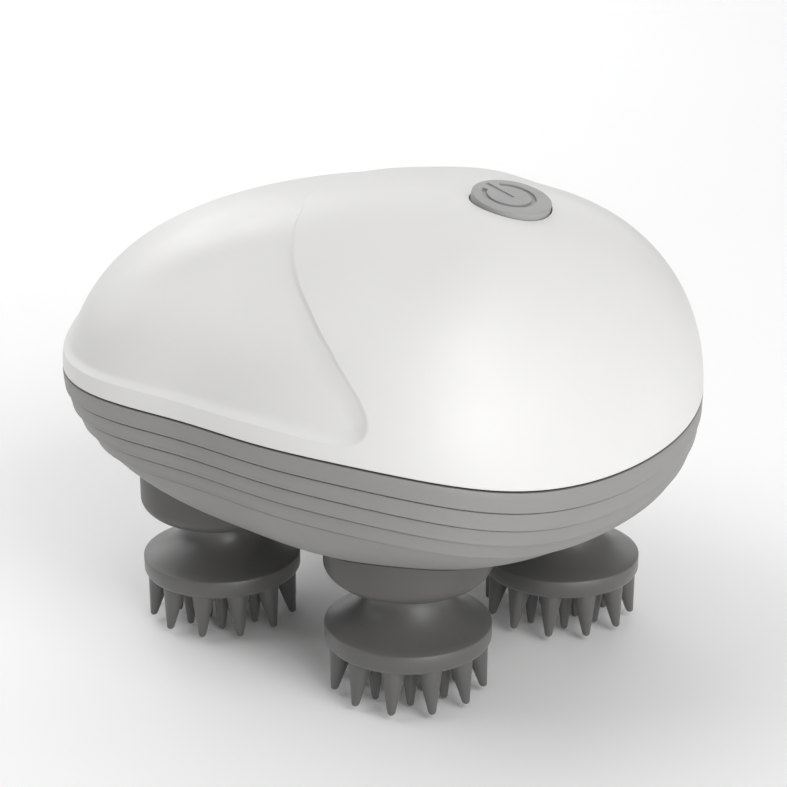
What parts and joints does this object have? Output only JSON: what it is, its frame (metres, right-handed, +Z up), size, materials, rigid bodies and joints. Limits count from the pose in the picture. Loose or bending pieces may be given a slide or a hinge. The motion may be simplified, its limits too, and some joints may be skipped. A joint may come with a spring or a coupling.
{
  "type": "electric scalp massager",
  "caption": "Handheld electric scalp massager: smooth white domed body on four geared heads with soft tapered teeth, and a round push button on top.",
  "frame": {"origin": "under the middle of the body, on the plane that the teeth stand on", "axes": "+Z up through the dome, +X towards the nose with the button, +Y to the left seen from behind"},
  "size_m": [0.1222, 0.1074, 0.089],
  "materials": {
    "white_shell": "satin white ABS",
    "grey_shell": "matte grey ABS",
    "dark_silicone": "matte dark grey silicone",
    "dark_plastic": "matte dark grey ABS",
    "button_grey": "satin grey ABS",
    "seal_rubber": "black silicone",
    "gear_plastic": "natural acetal",
    "frame_plastic": "grey moulded",
    "steel": "bright",
    "motor_steel": "zinc plated",
    "brass": "bright",
    "cell_wrap": "shrink wrap",
    "board_laminate": "solder mask",
    "black_plastic": "matte black"
  },
  "bodies": {
    "case": {"top_shell": "white_shell", "lower_shell": "grey_shell", "case_seal": "seal_rubber", "case_screw_1": "steel", "case_screw_2": "steel", "case_screw_3": "steel", "case_screw_4": "steel", "charge_contact_1": "brass", "charge_contact_2": "brass", "head_collar_front_left": "dark_plastic", "head_collar_front_right": "dark_plastic", "head_collar_rear_left": "dark_plastic", "head_collar_rear_right": "dark_plastic", "shaft_seal_front_left": "seal_rubber", "shaft_seal_front_right": "seal_rubber", "shaft_seal_rear_left": "seal_rubber", "shaft_seal_rear_right": "seal_rubber", "output_bush_front_left": "brass", "output_bush_front_right": "brass", "output_bush_rear_left": "brass", "output_bush_rear_right": "brass", "gearbox_base_plate": "frame_plastic", "gearbox_top_plate": "frame_plastic", "gearbox_screw_1": "steel", "gearbox_screw_2": "steel", "gearbox_screw_3": "steel", "drive_axle_front": "steel", "drive_axle_rear": "steel", "reduction_axle": "steel", "motor_can": "motor_steel", "battery": "cell_wrap", "battery_holder": "black_plastic", "button_gasket": "seal_rubber", "tactile_switch": "black_plastic", "circuit_board": "board_laminate"},
    "head_front_left": {"massage_head_front_left": "dark_silicone", "head_hub_front_left": "dark_plastic", "output_shaft_front_left": "steel", "output_gear_front_left": "gear_plastic"},
    "head_front_right": {"massage_head_front_right": "dark_silicone", "head_hub_front_right": "dark_plastic", "output_shaft_front_right": "steel", "output_gear_front_right": "gear_plastic"},
    "head_rear_left": {"massage_head_rear_left": "dark_silicone", "head_hub_rear_left": "dark_plastic", "output_shaft_rear_left": "steel", "output_gear_rear_left": "gear_plastic"},
    "head_rear_right": {"massage_head_rear_right": "dark_silicone", "head_hub_rear_right": "dark_plastic", "output_shaft_rear_right": "steel", "output_gear_rear_right": "gear_plastic"},
    "drive_front": {"drive_gear_front": "gear_plastic"},
    "drive_rear": {"drive_gear_rear": "gear_plastic"},
    "reduction": {"reduction_gear": "gear_plastic"},
    "rotor": {"motor_shaft": "steel", "motor_pinion": "brass"},
    "button": {"power_button": "button_grey", "switch_plunger": "black_plastic"}
  },
  "joints": [
    {"name": "spin_head_front_left", "type": "hinge", "parent": "case", "child": "head_front_left", "pos_m": [0.02989, 0.02099, 0.036], "axis": [0, 0, 1], "continuous": true},
    {"name": "spin_head_front_right", "type": "hinge", "parent": "case", "child": "head_front_right", "pos_m": [0.02989, -0.02099, 0.036], "axis": [0, 0, 1], "continuous": true},
    {"name": "spin_head_rear_left", "type": "hinge", "parent": "case", "child": "head_rear_left", "pos_m": [-0.0163, 0.02508, 0.036], "axis": [0, 0, 1], "continuous": true},
    {"name": "spin_head_rear_right", "type": "hinge", "parent": "case", "child": "head_rear_right", "pos_m": [-0.0163, -0.02508, 0.036], "axis": [0, 0, 1], "continuous": true},
    {"name": "spin_drive_front", "type": "hinge", "parent": "case", "child": "drive_front", "pos_m": [0.01519, 0, 0.04], "axis": [0, 0, 1], "continuous": true},
    {"name": "spin_drive_rear", "type": "hinge", "parent": "case", "child": "drive_rear", "pos_m": [-0.01106, 0, 0.04], "axis": [0, 0, 1], "continuous": true},
    {"name": "spin_reduction", "type": "hinge", "parent": "case", "child": "reduction", "pos_m": [-0.03044, 0, 0.042], "axis": [0, 0, 1], "continuous": true},
    {"name": "spin_rotor", "type": "hinge", "parent": "case", "child": "rotor", "pos_m": [-0.01193, 0, 0.06], "axis": [0, 0, 1], "continuous": true},
    {"name": "press_button", "type": "slide", "parent": "case", "child": "button", "axis": [-0.2233, 0, -0.9748], "range_m": [0, 0.0006], "stiffness_N_per_m": 600, "springref_m": -0.001}
  ],
  "couplings": [
    {"joint": "spin_head_front_right", "follows": "spin_head_front_left", "ratio": 1},
    {"joint": "spin_head_rear_left", "follows": "spin_head_front_left", "ratio": -1},
    {"joint": "spin_head_rear_right", "follows": "spin_head_front_left", "ratio": -1},
    {"joint": "spin_drive_front", "follows": "spin_head_front_left", "ratio": -0.95238},
    {"joint": "spin_drive_rear", "follows": "spin_head_front_left", "ratio": 0.95238},
    {"joint": "spin_reduction", "follows": "spin_head_front_left", "ratio": -2},
    {"joint": "spin_rotor", "follows": "spin_head_front_left", "ratio": 5.4}
  ]
}
